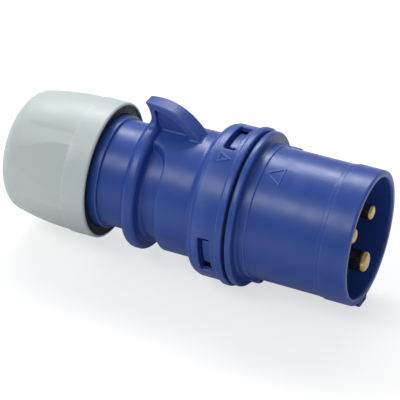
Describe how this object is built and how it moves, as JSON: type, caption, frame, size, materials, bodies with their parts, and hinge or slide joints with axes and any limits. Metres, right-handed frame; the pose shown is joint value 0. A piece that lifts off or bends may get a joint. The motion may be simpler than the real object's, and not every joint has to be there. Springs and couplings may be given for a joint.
{
  "type": "industrial pin and sleeve plug",
  "caption": "Blue round pin and sleeve power plug: keyed sleeve around brass pins, twist-locked rear housing with a finger hook, and a grey domed cable gland nut.",
  "frame": {"origin": "centre of the circle of the sleeve's mouth, on the plug's axis", "axes": "+X along the plug's axis, out of the pin mouth; +Z towards the finger hook; the key rib is at -Z"},
  "size_m": [0.1222, 0.0516, 0.0554],
  "materials": {
    "shell_blue": "moulded, satin gloss",
    "carrier_navy": "moulded",
    "nut_grey": "moulded, satin",
    "rubber_black": "soft rubber",
    "slip_black": "moulded",
    "cage_grey": "moulded",
    "brass": "turned",
    "steel": "zinc plated"
  },
  "bodies": {
    "housing": {"rear_housing": "shell_blue", "flange_gasket": "rubber_black", "clamp_cage": "cage_grey", "cable_seal": "rubber_black"},
    "front": {"front_shroud": "shell_blue", "contact_carrier": "carrier_navy", "carrier_cap": "carrier_navy", "carrier_screws": "steel", "line_pin": "brass", "neutral_pin": "brass", "earth_pin": "brass"},
    "gland_slide": {"gland_slip_ring": "slip_black"},
    "nut": {"gland_nut": "nut_grey", "nut_mouth_ring": "rubber_black"},
    "line_clamp": {"line_clamp_plate": "brass"},
    "line_screw": {"line_terminal_screw": "steel"},
    "neutral_clamp": {"neutral_clamp_plate": "brass"},
    "neutral_screw": {"neutral_terminal_screw": "steel"},
    "earth_clamp": {"earth_clamp_plate": "brass"},
    "earth_screw": {"earth_terminal_screw": "steel"}
  },
  "joints": [
    {"name": "front_twist", "type": "hinge", "parent": "housing", "child": "front", "pos_m": [0, 0, 0], "axis": [1, 0, 0], "range_deg": [-28, 0]},
    {"name": "nut_travel", "type": "slide", "parent": "housing", "child": "gland_slide", "axis": [1, 0, 0], "range_m": [-0.012, 0]},
    {"name": "nut_turn", "type": "hinge", "parent": "gland_slide", "child": "nut", "pos_m": [-0.11, 0, 0], "axis": [1, 0, 0], "range_deg": [-1440, 0]},
    {"name": "line_clamp_press", "type": "slide", "parent": "front", "child": "line_clamp", "axis": [0, -0.866, -0.5], "range_m": [0, 0.0012]},
    {"name": "line_screw_turn", "type": "hinge", "parent": "line_clamp", "child": "line_screw", "pos_m": [-0.05715, 0.00773, 0.00447], "axis": [0, -0.866, -0.5], "range_deg": [0, 617.2]},
    {"name": "neutral_clamp_press", "type": "slide", "parent": "front", "child": "neutral_clamp", "axis": [0, 0.866, -0.5], "range_m": [0, 0.0012]},
    {"name": "neutral_screw_turn", "type": "hinge", "parent": "neutral_clamp", "child": "neutral_screw", "pos_m": [-0.05715, -0.00773, 0.00447], "axis": [0, 0.866, -0.5], "range_deg": [0, 617.2]},
    {"name": "earth_clamp_press", "type": "slide", "parent": "front", "child": "earth_clamp", "axis": [0, 0, 1], "range_m": [0, 0.0012]},
    {"name": "earth_screw_turn", "type": "hinge", "parent": "earth_clamp", "child": "earth_screw", "pos_m": [-0.05715, 0, -0.00893], "axis": [0, 0, 1], "range_deg": [0, 617.2]}
  ],
  "couplings": [
    {"joint": "nut_travel", "follows": "nut_turn", "m_per_rad": 0.00047746},
    {"joint": "line_screw_turn", "follows": "line_clamp_press", "rad_per_m": 8976},
    {"joint": "neutral_screw_turn", "follows": "neutral_clamp_press", "rad_per_m": 8976},
    {"joint": "earth_screw_turn", "follows": "earth_clamp_press", "rad_per_m": 8976}
  ]
}
